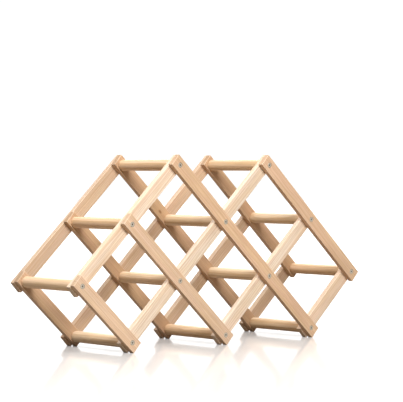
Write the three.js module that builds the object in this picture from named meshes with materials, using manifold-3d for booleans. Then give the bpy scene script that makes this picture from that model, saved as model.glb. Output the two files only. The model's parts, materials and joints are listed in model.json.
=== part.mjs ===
// A folding wine rack for six bottles, in pine. Two lattices of crossed slats stand one behind the other,
// and a round dowel at each crossing holds them apart. A countersunk wood screw goes through both slats into
// each end of a dowel, so every crossing is a pivot and the whole rack folds flat like scissors.
//
// Millimetres, +Z up, X along the rack and -Y to the front, where the bottles' necks point. The origin is at
// the middle of the footprint, on the surface that the rack stands on.
import * as THREE from "three";
import { mergeVertices } from "three/addons/utils/BufferGeometryUtils.js";
import Module from "manifold-3d";

// Driving dimensions
const pivotPitch = 109; // between neighbouring pivots along a slat
const slatWidth = 18;
const slatThickness = 7.5;
const slatOverhang = 11; // from a slat's last pivot to its square-cut end
const slatAngle = THREE.MathUtils.degToRad(43); // of every slat above the horizontal, with the rack open
const easedEdge = 0.7;
const footFlat = 2; // width of the flat on each corner that the rack stands on
const dowelLength = 100;
const dowelRadius = 7.5;
const dowelChamfer = 1;
const fitGap = 0.3; // between pieces that touch
const screwLength = 38;
const screwTip = 6;
const shankRadius = 1.75;
const headRadius = 3.25;
const headInset = 0.2; // how far the head sits below the slat's face
const recessDepth = 1.3;
const recessSpan = 3.2;
const recessWidth = 0.9;
const pilotSlack = 2; // how much deeper the pilot hole is than the screw
const cutMargin = 1; // how far a cutting tool stands out of the face that it cuts
const weldDistance = 1e-4; // vertices closer than this are one and the same

// Faceting. A faceted hole's flats lie closer in than its corners, so holes are made a little wider.
const dowelSides = 16;
const screwSides = 10;
const facetAllowance = 0.1;

// Worked out from the dimensions above
const stepX = pivotPitch * Math.cos(slatAngle);
const stepZ = pivotPitch * Math.sin(slatAngle);
const flatAlongSlat = footFlat * Math.cos(slatAngle);
const flatAcrossSlat = footFlat * Math.sin(slatAngle);
const cornerBelowPivot = slatOverhang * Math.sin(slatAngle) + (slatWidth / 2) * Math.cos(slatAngle);
const footHeight = cornerBelowPivot - flatAlongSlat * Math.sin(slatAngle);
const layer = slatThickness + fitGap;
const depth = dowelLength + 4 * layer;
const frontFace = -depth / 2;
const rearFace = depth / 2;
const dowelFront = frontFace + 2 * layer;
const rearLatticeFront = rearFace - slatThickness - layer;
const boreRadius = shankRadius + fitGap + facetAllowance;
const headBoreRadius = headRadius + fitGap * Math.SQRT2; // the gap is measured square to the 45 degree cone

// The pivots, row by row from the floor up. A column is one step along X, and the rack's middle is column 3.
const middleColumn = 3;
const rows = [
  { name: "foot", level: 0, columns: [1, 3, 5] },
  { name: "low", level: 1, columns: [0, 2, 4, 6] },
  { name: "middle", level: 2, columns: [1, 3, 5] },
  { name: "top", level: 3, columns: [2, 4] },
];
const pivots = rows.flatMap(({ name, level, columns }) =>
  columns.map((column, i) => ({
    name: `${name}_${i + 1}`,
    column,
    level,
    x: (column - middleColumn) * stepX,
    z: footHeight + level * stepZ,
  })),
);

// The two families of slats, which are the two layers of each lattice from front to rear. A falling slat's
// low end is its +X end, and a rising slat's is its -X end. holds tells whether the i-th slat has a pivot.
const families = [
  { name: "falling", lowEnd: 1, holds: ({ column, level }, i) => column + level === 2 * i - 1 },
  { name: "rising", lowEnd: -1, holds: ({ column, level }, i) => column - level === 2 * i - 3 },
];
const slatsInFamily = 4;

// The two lattices: where the front of each begins, and the family whose slats take the screw heads.
const lattices = [
  { name: "front", start: frontFace, outerFamily: "falling" },
  { name: "rear", start: rearLatticeFront, outerFamily: "rising" },
];

const pine = new THREE.MeshStandardMaterial({ color: 0xe8c8a4, roughness: 0.62, metalness: 0 });
const dowelPine = new THREE.MeshStandardMaterial({ color: 0xe6c9a0, roughness: 0.55, metalness: 0 });
const zincSteel = new THREE.MeshStandardMaterial({ color: 0xb4b0a8, roughness: 0.35, metalness: 1 });

const wasm = await Module();
wasm.setup();

// A closed three.js geometry as a manifold-3d solid.
function toSolid(geometry) {
  const bare = geometry.clone();
  bare.deleteAttribute("normal");
  bare.deleteAttribute("uv");
  const merged = mergeVertices(bare, weldDistance);
  return new wasm.Manifold(
    new wasm.Mesh({
      numProp: 3,
      vertProperties: merged.attributes.position.array,
      triVerts: new Uint32Array(merged.index.array),
    }),
  );
}

function toGeometry(solid) {
  const { vertProperties, triVerts } = solid.getMesh();
  const geometry = new THREE.BufferGeometry();
  geometry.setAttribute("position", new THREE.BufferAttribute(vertProperties, 3));
  geometry.setIndex(new THREE.BufferAttribute(triVerts, 1));
  geometry.computeVertexNormals();
  return geometry;
}

function cut(geometry, tools) {
  return toGeometry(tools.reduce((solid, tool) => solid.subtract(toSolid(tool)), toSolid(geometry)));
}

// A solid of revolution about Y, from [radius, y] points that start and end on the axis and run towards +Y.
function turned(points, sides) {
  const outline = points.map(([radius, y]) => new THREE.Vector2(radius, y));
  return new THREE.LatheGeometry(outline, sides);
}

// The tool that drills a screw's hole through a slat with faces at y = 0 and y = slatThickness. headSide is
// "front" or "rear" for a slat that the head sinks into, and "none" where only the shank goes through.
function screwHole(headSide) {
  const sunk = headSide !== "none";
  const points = [
    [0, -cutMargin],
    [sunk ? headBoreRadius + cutMargin : boreRadius, -cutMargin],
    [boreRadius, sunk ? headBoreRadius - boreRadius : 0],
    [boreRadius, slatThickness + cutMargin],
    [0, slatThickness + cutMargin],
  ];
  const hole = turned(points, screwSides);
  return headSide === "rear" ? hole.rotateX(Math.PI).translate(0, slatThickness, 0) : hole;
}

// A square-cut slat with eased edges, lying along X. The origin is midway between its end pivots, on its
// front face. A slat that stands on the floor has a flat on the lower corner of its low end.
function slat(spans, lowEnd, stands, headSide) {
  const reach = (spans * pivotPitch) / 2 + slatOverhang;
  const half = slatWidth / 2;
  const lowCorner = [
    [reach - flatAlongSlat, -half],
    [reach, -half + flatAcrossSlat],
  ];
  const outline = [
    [-reach, -half],
    ...(stands ? lowCorner : [[reach, -half]]),
    [reach, half],
    [-reach, half],
  ];
  const board = new THREE.ExtrudeGeometry(
    new THREE.Shape(outline.map(([along, up]) => new THREE.Vector2(lowEnd * along, up))),
    {
      depth: slatThickness - 2 * easedEdge,
      bevelThickness: easedEdge,
      bevelSize: easedEdge,
      bevelOffset: -easedEdge,
      bevelSegments: 1,
    },
  );
  board.rotateX(Math.PI / 2).translate(0, slatThickness - easedEdge, 0);
  const holes = Array.from({ length: spans + 1 }, (_, i) =>
    screwHole(headSide).translate((i - spans / 2) * pivotPitch, 0, 0),
  );
  return cut(board, holes);
}

// A dowel along +Y from the origin, chamfered at both ends and drilled for a screw in each.
function dowel() {
  const pilotDepth = screwLength - 2 * layer + pilotSlack;
  const points = [
    [0, pilotDepth],
    [boreRadius, pilotDepth],
    [boreRadius, 0],
    [dowelRadius - dowelChamfer, 0],
    [dowelRadius, dowelChamfer],
    [dowelRadius, dowelLength - dowelChamfer],
    [dowelRadius - dowelChamfer, dowelLength],
    [boreRadius, dowelLength],
    [boreRadius, dowelLength - pilotDepth],
    [0, dowelLength - pilotDepth],
  ];
  return turned(points, dowelSides);
}

// A countersunk wood screw along +Y, with a cross recess in its head. The head sinks just below y = 0.
function screw() {
  const points = [
    [0, headInset],
    [headRadius, headInset],
    [shankRadius, headInset + headRadius - shankRadius],
    [shankRadius, screwLength - screwTip],
    [0, screwLength],
  ];
  const crossBars = [0, Math.PI / 2].map((turn) =>
    new THREE.BoxGeometry(recessSpan, 2 * recessDepth, recessWidth).rotateY(turn).translate(0, headInset, 0),
  );
  return cut(turned(points, screwSides), crossBars);
}

const rack = new THREE.Group();

function add(name, geometry, material, x, y, z) {
  const mesh = new THREE.Mesh(geometry, material);
  mesh.name = name;
  mesh.position.set(x, y, z);
  rack.add(mesh);
  return mesh;
}

function addLattice(lattice) {
  families.forEach(({ name, lowEnd, holds }, family) => {
    for (let i = 1; i <= slatsInFamily; i++) {
      const own = pivots.filter((pivot) => holds(pivot, i));
      const [lowest, highest] = [own[0], own.at(-1)];
      const headSide = name === lattice.outerFamily ? lattice.name : "none";
      const board = slat(own.length - 1, lowEnd, lowest.level === 0, headSide);
      const x = (lowest.x + highest.x) / 2;
      const y = lattice.start + family * layer;
      const z = (lowest.z + highest.z) / 2;
      add(`${lattice.name}_${name}_slat_${i}`, board, pine, x, y, z).rotation.y = lowEnd * slatAngle;
    }
  });
}

function addDowelsAndScrews() {
  const dowelShape = dowel();
  const screwShape = screw();
  for (const { name, x, z } of pivots) {
    add(`dowel_${name}`, dowelShape, dowelPine, x, dowelFront, z);
    add(`front_screw_${name}`, screwShape, zincSteel, x, frontFace, z);
    add(`rear_screw_${name}`, screwShape, zincSteel, x, rearFace, z).rotation.x = Math.PI;
  }
}

lattices.forEach(addLattice);
addDowelsAndScrews();

export default rack;
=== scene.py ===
"""The looks of a folding pine wine rack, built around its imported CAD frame.

Every slat, dowel and screw is rebuilt here with the detail of the real piece: boards with rounded edges
and countersunk holes, turned dowels, and cross-head screws. The wood is a solid one: each piece is cut
from its own place in a log, so the growth rings on its faces, edges and ends belong together.
Metres, +Z up, -Y to the front.
"""

import json
import math
import random

import bmesh
import bpy
from mathutils import Matrix, Vector

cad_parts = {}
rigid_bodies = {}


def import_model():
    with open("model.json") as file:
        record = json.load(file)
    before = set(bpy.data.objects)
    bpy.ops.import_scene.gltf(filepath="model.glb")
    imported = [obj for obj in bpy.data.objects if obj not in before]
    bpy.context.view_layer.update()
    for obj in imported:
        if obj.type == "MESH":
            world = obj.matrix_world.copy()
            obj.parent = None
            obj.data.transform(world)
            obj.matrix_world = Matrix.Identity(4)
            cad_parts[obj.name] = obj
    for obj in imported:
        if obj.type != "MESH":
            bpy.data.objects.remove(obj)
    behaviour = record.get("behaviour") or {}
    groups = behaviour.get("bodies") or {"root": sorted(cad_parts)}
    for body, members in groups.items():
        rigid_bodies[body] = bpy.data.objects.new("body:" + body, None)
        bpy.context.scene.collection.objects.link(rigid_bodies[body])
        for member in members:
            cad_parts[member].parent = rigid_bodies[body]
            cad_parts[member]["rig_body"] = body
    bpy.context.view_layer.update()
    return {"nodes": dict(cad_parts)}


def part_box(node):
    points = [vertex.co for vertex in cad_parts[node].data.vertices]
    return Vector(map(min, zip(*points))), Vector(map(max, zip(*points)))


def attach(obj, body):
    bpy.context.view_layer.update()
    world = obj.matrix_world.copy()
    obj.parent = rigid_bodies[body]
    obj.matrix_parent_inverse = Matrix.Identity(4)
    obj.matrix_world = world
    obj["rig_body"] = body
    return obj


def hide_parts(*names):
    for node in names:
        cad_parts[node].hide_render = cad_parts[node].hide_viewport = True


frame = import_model()
scene = bpy.context.scene
MM = 0.001

# Shape details that the CAD leaves plain
EDGE_RADIUS = 0.8 * MM
EDGE_SEGMENTS = 4
HOLE_SIDES = 40
DOWEL_SIDES = 56
SHANK_RADIUS = 1.75 * MM
BORE_RADIUS = 2.1 * MM
HEAD_RIM = 0.25 * MM
HEAD_BREAK_IN = 0.1 * MM  # the broken edge round a head's face, inwards
HEAD_BREAK_DOWN = 0.08 * MM  # and along the screw
HEAD_PLAY = 0.2 * MM
PILOT_SLACK = 2 * MM
DOWEL_CHAMFER = 0.9 * MM
CHAMFER_BREAK = 0.3 * DOWEL_CHAMFER
SCREW_TIP = 6 * MM
RECESS_DEPTH = 1.5 * MM
RECESS_SPAN = 3.4 * MM
RECESS_WIDTH = 0.95 * MM
RECESS_TAPER = 0.55
CUT_MARGIN = 1 * MM
WOOD_SHARP_ANGLE = 40
SCREW_SHARP_ANGLE = 30

# The face of a slat that screw heads sink into: -1 for the front one, 1 for the rear one and 0 for neither
SUNK_FACE = {
    ("front", "falling"): -1,
    ("front", "rising"): 0,
    ("rear", "falling"): 0,
    ("rear", "rising"): 1,
}

# Where in a log the pieces are cut: how far along it and how far from its pith, in mm. The pith lies beyond
# a slat's edge, give or take so many degrees, so that the slat's faces show the rings as stripes.
LOG_LENGTH = 4000
SLAT_PITH = (28, 70)
PITH_STRAY = 55
DOWEL_PITH = (10, 40)

# Tones from 0, pale, to 1, warm. Rising slats are the paler ones. The rear lattice's warmer tones, and its
# darkening below, are painted shade, standing in for the shade of full bottles between the lattices.
SLAT_TONES = {
    ("front", "falling"): (0.60, 0.57, 0.77, 0.75),
    ("front", "rising"): (0.15, 0.04, 0.05, 0.26),
    ("rear", "falling"): (0.84, 0.92, 0.90, 0.96),
    ("rear", "rising"): (0.55, 0.60, 0.52, 0.58),
}
DOWEL_TONES = (0.1, 0.9)
# How light each lattice's wood is: the rear one is darkened as painted shade
PAINTED_SHADES = {"front": 1.0, "rear": 0.84}

# Colours
PINE = {"pale": (0.87, 0.75, 0.62), "warm": (0.635, 0.39, 0.23), "late": (0.58, 0.36, 0.20)}
DOWEL_PINE = {"pale": (0.84, 0.67, 0.48), "warm": (0.76, 0.53, 0.33), "late": (0.56, 0.34, 0.16)}
BLUSH = (0.84, 0.55, 0.42)
HONEY = (0.82, 0.63, 0.36)
KNOT = (0.25, 0.115, 0.045)
KNOT_HALO = (0.55, 0.32, 0.15)
RUBBED_EDGE = (0.88, 0.74, 0.58)
ZINC_DULL = (0.38, 0.33, 0.26)
ZINC_BRIGHT = (0.56, 0.50, 0.41)
# The dark of the screws' painted shade in their recesses, and of their heads' rims
RECESS_SHADE_AND_RIM = (0.11, 0.08, 0.055)

# The spacing of the growth rings in mm
RING_WIDTH = 2.3
DOWEL_RING_WIDTH = 3.6

# The studio. The floor's glow grows from the first strength to the second between the two radii. The lens
# and the sensor are in mm.
FLOOR_SIZE = 14
FLOOR_WHITE = (0.80, 0.80, 0.80, 1)
FLOOR_SEEN_BY_WOOD = (0.19, 0.15, 0.11, 1)
GLOW_RADII = (0.5, 3.0)
GLOW = (0.12, 0.6)
SKY_SEEN = 1.05
SKY_ON_WOOD = 0.20
SOFTBOX_TARGET = Vector((0, 0, 0.14))
SENSOR_WIDTH = 36
VIEW_LENS = 164.278
VIEW_AZIMUTH = math.radians(-41.97)
VIEW_ELEVATION = math.radians(1.09)
VIEW_TARGET = Vector((0.0157, 0, 0.188))
VIEW_DISTANCE = 2.471

# The pivots by name, as (column, level) on the lattice's grid
ROWS = {"foot": (0, (1, 3, 5)), "low": (1, (0, 2, 4, 6)), "middle": (2, (1, 3, 5)), "top": (3, (2, 4))}
PIVOTS = {
    f"{row}_{i + 1}": (column, level)
    for row, (level, columns) in ROWS.items()
    for i, column in enumerate(columns)
}


def mesh_object(name, bm):
    mesh = bpy.data.meshes.new(name)
    bm.to_mesh(mesh)
    bm.free()
    piece = bpy.data.objects.new(name, mesh)
    scene.collection.objects.link(piece)
    return piece


def turned(name, points, sides):
    """A solid of revolution about Y, from (radius, y) points that start and end on the axis."""
    bm = bmesh.new()
    rings = []
    for radius, y in points:
        if radius == 0:
            rings.append([bm.verts.new((0, y, 0))])
            continue
        turns = [2 * math.pi * k / sides for k in range(sides)]
        rings.append([bm.verts.new((radius * math.sin(t), y, radius * math.cos(t))) for t in turns])
    for ring, following in zip(rings, rings[1:]):
        for k in range(sides):
            corners = [ring[k % len(ring)], ring[(k + 1) % len(ring)]]
            corners += [following[(k + 1) % len(following)], following[k % len(following)]]
            bm.faces.new(list(dict.fromkeys(corners)))
    bmesh.ops.recalc_face_normals(bm, faces=bm.faces)
    return mesh_object(name, bm)


def rounded_box(name, half):
    """A box with rounded edges, from half its size."""
    bm = bmesh.new()
    bmesh.ops.create_cube(bm, size=2)
    bmesh.ops.scale(bm, vec=half, verts=bm.verts)
    bmesh.ops.bevel(
        bm,
        geom=bm.edges[:],
        offset=EDGE_RADIUS,
        segments=EDGE_SEGMENTS,
        profile=0.5,
        affect="EDGES",
        clamp_overlap=True,
    )
    return mesh_object(name, bm)


def bake_modifiers(piece):
    bpy.context.view_layer.update()
    evaluated = piece.evaluated_get(bpy.context.evaluated_depsgraph_get())
    mesh = bpy.data.meshes.new_from_object(evaluated)
    piece.modifiers.clear()
    piece.data = mesh


def cut(piece, tools):
    """Takes the tools out of the piece, and removes the tools."""
    for tool in tools:
        boolean = piece.modifiers.new("cut", "BOOLEAN")
        boolean.operation = "DIFFERENCE"
        boolean.solver = "EXACT"
        boolean.object = tool
    bake_modifiers(piece)
    for tool in tools:
        bpy.data.objects.remove(tool)


def soften(piece, sharp_angle):
    """Smooth shading that keeps flat faces flat and leaves edges past sharp_angle degrees sharp."""
    piece.data.shade_smooth()
    piece.data.set_sharp_from_angle(angle=math.radians(sharp_angle))
    weighted = piece.modifiers.new("weighted", "WEIGHTED_NORMAL")
    weighted.keep_sharp = True
    weighted.weight = 100
    bake_modifiers(piece)


def store(piece, name, kind, values):
    """Stores one value per vertex on the piece's mesh, for its material to read."""
    attribute = piece.data.attributes.new(name, kind, "POINT")
    key = "vector" if kind == "FLOAT_VECTOR" else "value"
    flat = [x for value in values for x in value] if kind == "FLOAT_VECTOR" else values
    attribute.data.foreach_set(key, flat)


# Where things are
pivot_at = {name: sum(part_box(f"dowel_{name}"), Vector()) / 2 for name in PIVOTS}
dowel_low, dowel_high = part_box("dowel_top_1")
dowel_radius = (dowel_high.z - dowel_low.z) / 2
screw_low, screw_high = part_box("front_screw_top_1")
head_radius = (screw_high.z - screw_low.z) / 2
screw_length = screw_high.y - screw_low.y
front_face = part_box("front_falling_slat_3")[0].y
head_depth = screw_low.y - front_face


def slat_pivots(family, i):
    """The slat's pivots from left to right."""
    if family == "falling":
        own = [name for name, (column, level) in PIVOTS.items() if column + level == 2 * i - 1]
    else:
        own = [name for name, (column, level) in PIVOTS.items() if column - level == 2 * i - 3]
    return sorted(own, key=lambda name: PIVOTS[name][0])


def screw_hole(sunk, thickness):
    """The tool for a screw's hole along Y through a board whose faces are at -thickness / 2 and
    thickness / 2. sunk is -1 or 1 for a head sunk into the -Y or +Y face, and 0 for a plain hole."""
    face = -thickness / 2
    mouth = head_radius + HEAD_PLAY
    points = [(0, face - CUT_MARGIN), (BORE_RADIUS, face - CUT_MARGIN)]
    if sunk:
        rim = face + head_depth + HEAD_RIM
        points = [(0, face - CUT_MARGIN), (mouth, face - CUT_MARGIN), (mouth, rim)]
        points += [(BORE_RADIUS, rim + mouth - BORE_RADIUS)]
    points += [(BORE_RADIUS, CUT_MARGIN - face), (0, CUT_MARGIN - face)]
    tool = turned("hole", points, HOLE_SIDES)
    if sunk == 1:
        tool.data.transform(Matrix.Rotation(math.pi, 4, "Z"))
    return tool


def build_slat(side, family, i, log):
    node = f"{side}_{family}_slat_{i}"
    own = slat_pivots(family, i)
    first, last = pivot_at[own[0]], pivot_at[own[-1]]
    low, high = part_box(node)
    middle = (first + last) / 2
    middle.y = (low.y + high.y) / 2
    along = (last - first).normalized()
    across = Vector((-along.z, 0, along.x))
    corners = [v.co - middle for v in frame["nodes"][node].data.vertices]
    half_length = max(abs(c.dot(along)) for c in corners)
    half_width = max(abs(c.dot(across)) for c in corners)
    half_thickness = (high.y - low.y) / 2
    board = rounded_box(f"{node}_wood", Vector((half_length, half_thickness, half_width)))

    holes = [screw_hole(SUNK_FACE[side, family], 2 * half_thickness) for _ in own]
    for name, hole in zip(own, holes):
        hole.data.transform(Matrix.Translation(((pivot_at[name] - middle).dot(along), 0, 0)))
    cut(board, holes)

    # A corner that would reach below the floor is worn flat on it
    place = Matrix((along, (0, 1, 0), across)).transposed().to_4x4()
    place.translation = middle
    for v in board.data.vertices:
        lift = max(0, -(place @ v.co).z)
        v.co += Vector((lift * along.z, 0, lift * across.z))
    soften(board, WOOD_SHARP_ANGLE)
    grow(board, log)
    board.matrix_world = place
    finish_piece(board, node, "pine")


def build_dowel(name, log):
    node = f"dowel_{name}"
    low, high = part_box(node)
    length = high.y - low.y
    pilot = screw_length + head_depth - (low.y - front_face) + PILOT_SLACK
    end = [
        (0, pilot),
        (BORE_RADIUS, pilot),
        (BORE_RADIUS, 0),
        (dowel_radius - DOWEL_CHAMFER, 0),
        (dowel_radius - CHAMFER_BREAK, CHAMFER_BREAK),
        (dowel_radius, DOWEL_CHAMFER),
    ]
    points = [(r, y - length / 2) for r, y in end] + [(r, length / 2 - y) for r, y in reversed(end)]
    dowel = turned(f"{node}_wood", points, DOWEL_SIDES)
    dowel.data.transform(Matrix.Rotation(-math.pi / 2, 4, "Z"))
    soften(dowel, WOOD_SHARP_ANGLE)
    grow(dowel, log)
    dowel.matrix_world = Matrix.Translation((low + high) / 2) @ Matrix.Rotation(math.pi / 2, 4, "Z")
    finish_piece(dowel, node, "dowel_pine")


def grow(piece, log):
    """Gives the piece, whose grain runs along its own X, its place in a log. log says how far along the
    log it is, where the pith is from its middle in mm and radians, its tone, and its shade, which darkens
    the rear lattice as painted shade."""
    pith = Vector((0, log["pith"] * math.cos(log["turn"]), log["pith"] * math.sin(log["turn"])))
    start = Vector((log["along"], 0, 0)) - pith
    store(piece, "grain", "FLOAT_VECTOR", [v.co / MM + start for v in piece.data.vertices])
    for name in ("tone", "shade"):
        store(piece, name, "FLOAT", [log[name]] * len(piece.data.vertices))


def screw_mesh():
    """A countersunk screw along +Y with a cross recess, its head's face at y = 0."""
    cone = head_radius - SHANK_RADIUS
    points = [
        (0, 0),
        (head_radius - HEAD_BREAK_IN, 0),
        (head_radius, HEAD_BREAK_DOWN),
        (head_radius, HEAD_RIM),
        (SHANK_RADIUS, HEAD_RIM + cone),
        (SHANK_RADIUS, screw_length - SCREW_TIP),
        (0, screw_length),
    ]
    screw = turned("screw", points, HOLE_SIDES)
    bars = []
    for turn in (0, math.pi / 2):
        bm = bmesh.new()
        bmesh.ops.create_cube(bm, size=1)
        for v in bm.verts:
            v.co.x *= RECESS_SPAN * (RECESS_TAPER if v.co.y > 0 else 1)
            v.co.z *= RECESS_WIDTH
            v.co.y = RECESS_DEPTH if v.co.y > 0 else -CUT_MARGIN
        bar = mesh_object("bar", bm)
        bar.data.transform(Matrix.Rotation(turn, 4, "Y"))
        bars.append(bar)
    cut(screw, bars)
    soften(screw, SCREW_SHARP_ANGLE)
    mesh = screw.data
    bpy.data.objects.remove(screw)
    return mesh


def build_screw(side, name, mesh, turn):
    node = f"{side}_screw_{name}"
    low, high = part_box(node)
    screw = bpy.data.objects.new(f"{node}_steel", mesh.copy())
    scene.collection.objects.link(screw)
    facing = Matrix.Rotation(0 if side == "front" else math.pi, 4, "Z")
    head = (low + high) / 2
    head.y = low.y if side == "front" else high.y
    screw.matrix_world = Matrix.Translation(head) @ facing @ Matrix.Rotation(turn, 4, "Y")
    finish_piece(screw, node, "zinc_steel")


def finish_piece(piece, node, slot):
    piece.data.materials.clear()
    piece.data.materials.append(materials[slot])
    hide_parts(node)
    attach(piece, frame["nodes"][node]["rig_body"])


class Nodes:
    """Short names for the nodes of one material. A number, colour or vector can stand for any input."""

    def __init__(self, material):
        material.use_nodes = True
        self.tree = material.node_tree
        self.tree.nodes.clear()

    def add(self, kind, inputs=None, **settings):
        node = self.tree.nodes.new(kind)
        for key, value in settings.items():
            setattr(node, key, value)
        for key, value in (inputs or {}).items():
            if isinstance(value, bpy.types.NodeSocket):
                self.tree.links.new(value, node.inputs[key])
            else:
                node.inputs[key].default_value = value
        return node

    def math(self, operation, *values):
        return self.add("ShaderNodeMath", dict(enumerate(values)), operation=operation).outputs[0]

    def times(self, a, b):
        return self.math("MULTIPLY", a, b)

    def plus(self, a, b):
        return self.math("ADD", a, b)

    def minus(self, a, b):
        return self.math("SUBTRACT", a, b)

    def vector(self, operation, *values):
        return self.add("ShaderNodeVectorMath", dict(enumerate(values)), operation=operation)

    def scaled(self, vector, x, y, z):
        return self.vector("MULTIPLY", vector, (x, y, z)).outputs[0]

    def length(self, vector):
        return self.vector("LENGTH", vector).outputs["Value"]

    def along_x(self, value):
        return self.add("ShaderNodeCombineXYZ", {"X": value}).outputs[0]

    def noise(self, vector, detail, roughness=0.5):
        inputs = {"Vector": vector, "Scale": 1.0, "Detail": detail, "Roughness": roughness}
        return self.add("ShaderNodeTexNoise", inputs).outputs["Fac"]

    def figure(self, grain, along, across, detail, roughness=0.5):
        """Noise with so many cycles per mm along the grain and across it."""
        return self.noise(self.scaled(grain, along, across, across), detail, roughness)

    def remap(self, value, low, high, to_low=0.0, to_high=1.0, smooth=True):
        inputs = {"Value": value, "From Min": low, "From Max": high, "To Min": to_low, "To Max": to_high}
        kind = "SMOOTHSTEP" if smooth else "LINEAR"
        return self.add("ShaderNodeMapRange", inputs, interpolation_type=kind).outputs[0]

    def between(self, factor, low, high):
        """From low to high as a factor goes from 0 to 1."""
        return self.remap(factor, 0, 1, low, high, smooth=False)

    def spread(self, noise, low, high):
        """From low to high over the values that a noise mostly has."""
        return self.remap(noise, 0.3, 0.7, low, high, smooth=False)

    def mix(self, factor, a, b, blend="MIX"):
        node = self.add("ShaderNodeMix", data_type="RGBA", blend_type=blend)
        for key, value in ((0, factor), (6, a), (7, b)):
            if isinstance(value, bpy.types.NodeSocket):
                self.tree.links.new(value, node.inputs[key])
            elif isinstance(value, tuple):
                node.inputs[key].default_value = (*value, 1)
            else:
                node.inputs[key].default_value = value
        return node.outputs[2]

    def attribute(self, name, output="Fac"):
        return self.add("ShaderNodeAttribute", attribute_name=name).outputs[output]


def wood(name, pale, warm, late, ring_width, board):
    """Solid pine. pale and warm are the ends of the tone between pieces, late the dark side of a growth
    ring, and ring_width the rings' spacing in mm. A board, unlike a dowel, has rounded edges that handling
    has polished."""
    material = bpy.data.materials.new(name)
    n = Nodes(material)
    grain = n.attribute("grain", "Vector")
    tone = n.attribute("tone")

    # Knots: few and small, with the rings bent round them
    cells = n.add("ShaderNodeTexVoronoi", {"Vector": n.scaled(grain, 0.016, 0.03, 0.03), "Scale": 1.0})
    chance = n.add("ShaderNodeSeparateColor", {"Color": cells.outputs["Color"]}).outputs[0]
    present = n.remap(chance, 0.60, 0.62)
    knot = n.times(n.remap(cells.outputs["Distance"], 0.075, 0.025), present)
    near_knot = n.times(n.remap(cells.outputs["Distance"], 0.30, 0.03), present)

    # Growth rings about the pith, wavy along the grain and uneven in width. Each darkens slowly outwards
    # and ends sharply.
    wave = n.figure(grain, 0.014, 0.06, detail=2.5)
    radius = n.plus(n.length(n.scaled(grain, 0, 1, 1)), n.times(wave, 5.0))
    radius = n.plus(radius, n.times(near_knot, 2.2))
    pace = n.noise(n.scaled(n.along_x(radius), 0.16, 0, 0), detail=1)
    turn = n.math("FRACT", n.plus(n.math("DIVIDE", radius, ring_width), n.times(pace, 2.4)))
    ring = n.times(n.remap(turn, 0.25, 0.88), n.remap(turn, 1.0, 0.90))

    # Fibres and resin canals, long and thin along the grain, and broader patches of colour
    fibre = n.figure(grain, 0.05, 2.4, detail=4, roughness=0.62)
    streak = n.figure(grain, 0.012, 0.42, detail=3)
    canal = n.remap(n.figure(grain, 0.11, 5.2, detail=1), 0.66, 0.74)
    blush = n.figure(grain, 0.006, 0.09, detail=2)
    honey = n.figure(grain, 0.016, 0.14, detail=3)
    blotch = n.figure(grain, 0.009, 0.035, detail=2)

    # End grain faces along the piece
    normal = n.add("ShaderNodeTexCoord").outputs["Normal"]
    facing = n.add("ShaderNodeSeparateXYZ", {"Vector": n.vector("ABSOLUTE", normal).outputs[0]}).outputs
    end = n.remap(facing[0], 0.6, 0.85)

    colour = n.mix(tone, pale, warm)
    colour = n.mix(n.remap(blush, 0.45, 0.62, 0.0, 0.22), colour, BLUSH)
    colour = n.mix(n.remap(honey, 0.46, 0.60, 0.0, 0.26), colour, HONEY)
    colour = n.mix(n.times(ring, n.between(tone, 0.40, 0.66)), colour, late)
    colour = n.mix(n.remap(streak, 0.40, 0.64, 0.0, 0.36), colour, late)
    lightness = n.times(n.spread(fibre, 0.89, 1.08), n.spread(blotch, 0.92, 1.07))
    lightness = n.minus(lightness, n.times(canal, 0.14))
    # Painted shade: the rear lattice's wood is darkened all over
    lightness = n.times(lightness, n.attribute("shade"))
    lightness = n.times(lightness, n.between(end, 1.0, 0.86))
    grey = n.add("ShaderNodeCombineColor", {"Red": lightness, "Green": lightness, "Blue": lightness})
    colour = n.mix(1.0, colour, grey.outputs[0], "MULTIPLY")
    colour = n.mix(n.times(near_knot, 0.25), colour, KNOT_HALO)
    colour = n.mix(n.times(knot, 0.8), colour, KNOT)

    roughness = n.plus(n.spread(fibre, 0.68, 0.54), n.times(end, 0.16))
    roughness = n.minus(roughness, n.times(ring, 0.05))
    if board:
        # Only its rounded edges face halfway between two sides
        squareness = n.math("MAXIMUM", n.math("MAXIMUM", facing[0], facing[1]), facing[2])
        edge = n.remap(squareness, 0.985, 0.86)
        rubbed = n.times(edge, n.remap(blotch, 0.35, 0.6, 0.35, 1.0))
        colour = n.mix(n.times(rubbed, 0.45), colour, RUBBED_EDGE)
        roughness = n.minus(roughness, n.times(rubbed, 0.12))
    height = n.minus(n.times(fibre, 0.6), n.times(canal, 0.5))
    height = n.plus(height, n.times(ring, 0.25))
    bump = n.add("ShaderNodeBump", {"Height": height, "Strength": 0.6, "Distance": 0.12 * MM})

    surface = {"Base Color": colour, "Roughness": roughness, "Normal": bump.outputs[0]}
    shader = n.add("ShaderNodeBsdfPrincipled", surface | {"IOR": 1.45, "Specular IOR Level": 0.3})
    n.add("ShaderNodeOutputMaterial", {"Surface": shader.outputs[0]})
    return material


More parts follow.
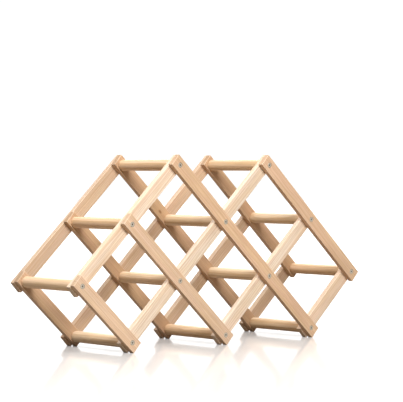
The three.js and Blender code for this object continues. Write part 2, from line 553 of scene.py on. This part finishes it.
def zinc():
    """Zinc plate, duller down in the recess and darkened there as painted shade, with turning marks and a
    dark rim.
    """
    material = bpy.data.materials.new("zinc_steel")
    n = Nodes(material)
    own = n.add("ShaderNodeTexCoord").outputs["Object"]
    depth = n.add("ShaderNodeSeparateXYZ", {"Vector": own}).outputs[1]
    sunk = n.remap(depth, 0.05 * MM, 0.9 * MM)
    mottle = n.noise(n.scaled(own, 900, 900, 900), detail=3)
    radius = n.length(n.scaled(own, 1, 0, 1))
    rim = n.remap(radius, head_radius - 0.55 * MM, head_radius)
    marks = n.noise(n.along_x(n.times(radius, 9000)), detail=2)
    colour = n.mix(n.remap(mottle, 0.3, 0.7), ZINC_DULL, ZINC_BRIGHT)
    # The recess is darkened by its depth as painted shade, and the head darkens towards its outer edge
    dark = n.math("MAXIMUM", n.times(sunk, 0.62), n.times(rim, 0.8))
    colour = n.mix(dark, colour, RECESS_SHADE_AND_RIM)
    roughness = n.plus(n.remap(mottle, 0.3, 0.7, 0.26, 0.40), n.times(sunk, 0.25))
    bump = n.add("ShaderNodeBump", {"Height": marks, "Strength": 0.5, "Distance": 0.03 * MM})
    shader = n.add(
        "ShaderNodeBsdfPrincipled",
        {"Base Color": colour, "Roughness": roughness, "Normal": bump.outputs[0], "Metallic": 1.0},
    )
    n.add("ShaderNodeOutputMaterial", {"Surface": shader.outputs[0]})
    return material


materials = {
    "pine": wood("pine", **PINE, ring_width=RING_WIDTH, board=True),
    "dowel_pine": wood("dowel_pine", **DOWEL_PINE, ring_width=DOWEL_RING_WIDTH, board=False),
    "zinc_steel": zinc(),
}


def build_slats():
    for (side, family), tones in SLAT_TONES.items():
        for i, tone in enumerate(tones, 1):
            log = {
                "along": random.uniform(0, LOG_LENGTH),
                "pith": random.uniform(*SLAT_PITH),
                "turn": math.radians(90 + random.uniform(-PITH_STRAY, PITH_STRAY)),
                "tone": tone,
                # painted shade: the rear lattice is darkened
                "shade": PAINTED_SHADES[side],
            }
            build_slat(side, family, i, log)


def build_dowels_and_screws():
    screw_shape = screw_mesh()
    for name in PIVOTS:
        log = {
            "along": random.uniform(0, LOG_LENGTH),
            "pith": random.uniform(*DOWEL_PITH),
            "turn": random.uniform(0, 2 * math.pi),
            "tone": random.uniform(*DOWEL_TONES),
            "shade": 1.0,
        }
        build_dowel(name, log)
        for side in ("front", "rear"):
            build_screw(side, name, screw_shape, random.uniform(0, math.pi / 2))


# The stage
def floor():
    """A glossy white board, lit from inside far out, where the lamps don't reach, so that it shows as
    white as the studio round it. The wood sees it darker and warmer, as between full bottles, which let
    little light up."""
    bpy.ops.mesh.primitive_plane_add(size=FLOOR_SIZE)
    board = bpy.context.active_object
    board.name = "floor"
    material = bpy.data.materials.new("floor")
    n = Nodes(material)
    seen = n.add("ShaderNodeLightPath").outputs["Is Diffuse Ray"]
    place = n.add("ShaderNodeTexCoord").outputs["Object"]
    glow = n.remap(n.length(place), *GLOW_RADII, *GLOW)
    surface = {"Base Color": FLOOR_WHITE, "Roughness": 0.09, "IOR": 1.45}
    light = {"Emission Color": (1, 1, 1, 1), "Emission Strength": glow}
    white = n.add("ShaderNodeBsdfPrincipled", surface | light)
    dim = n.add("ShaderNodeBsdfDiffuse", {"Color": FLOOR_SEEN_BY_WOOD})
    both = n.add("ShaderNodeMixShader", {0: seen, 1: white.outputs[0], 2: dim.outputs[0]})
    n.add("ShaderNodeOutputMaterial", {"Surface": both.outputs[0]})
    board.data.materials.append(material)


def world():
    """White all round. It lights the wood with about a fifth of what the lens and the gloss see."""
    studio = bpy.data.worlds.new("studio")
    scene.world = studio
    n = Nodes(studio)
    diffuse = n.add("ShaderNodeLightPath").outputs["Is Diffuse Ray"]
    strength = n.between(diffuse, SKY_SEEN, SKY_ON_WOOD)
    background = n.add("ShaderNodeBackground", {"Color": (1, 1, 1, 1), "Strength": strength})
    n.add("ShaderNodeOutputWorld", {"Surface": background.outputs[0]})


def softbox(name, place, width, height, power, colour):
    light = bpy.data.lights.new(name, "AREA")
    light.shape = "RECTANGLE"
    light.size = width
    light.size_y = height
    light.energy = power
    light.color = colour
    box = bpy.data.objects.new(name, light)
    box.location = place
    box.rotation_euler = (SOFTBOX_TARGET - Vector(place)).to_track_quat("-Z", "Y").to_euler()
    scene.collection.objects.link(box)


def camera():
    lens = bpy.data.cameras.new("camera")
    lens.sensor_width = SENSOR_WIDTH
    lens.lens = VIEW_LENS
    eye = bpy.data.objects.new("camera", lens)
    back = Vector(
        (
            math.sin(VIEW_AZIMUTH) * math.cos(VIEW_ELEVATION),
            -math.cos(VIEW_AZIMUTH) * math.cos(VIEW_ELEVATION),
            math.sin(VIEW_ELEVATION),
        )
    )
    eye.location = VIEW_TARGET + back * VIEW_DISTANCE
    eye.rotation_euler = back.to_track_quat("Z", "Y").to_euler()
    scene.collection.objects.link(eye)
    scene.camera = eye


random.seed(7)
build_slats()
build_dowels_and_screws()
floor()
world()
softbox("key", (-0.62, -1.65, 1.3), width=1.1, height=0.85, power=51, colour=(1.0, 0.985, 0.96))
softbox("top", (-0.5, 0.1, 1.5), width=1.2, height=0.8, power=16.5, colour=(1.0, 1.0, 1.0))
softbox("back", (1.1, 1.7, 1.0), width=1.2, height=0.9, power=52, colour=(1.0, 0.98, 0.94))
camera()
scene.view_settings.view_transform = "Standard"
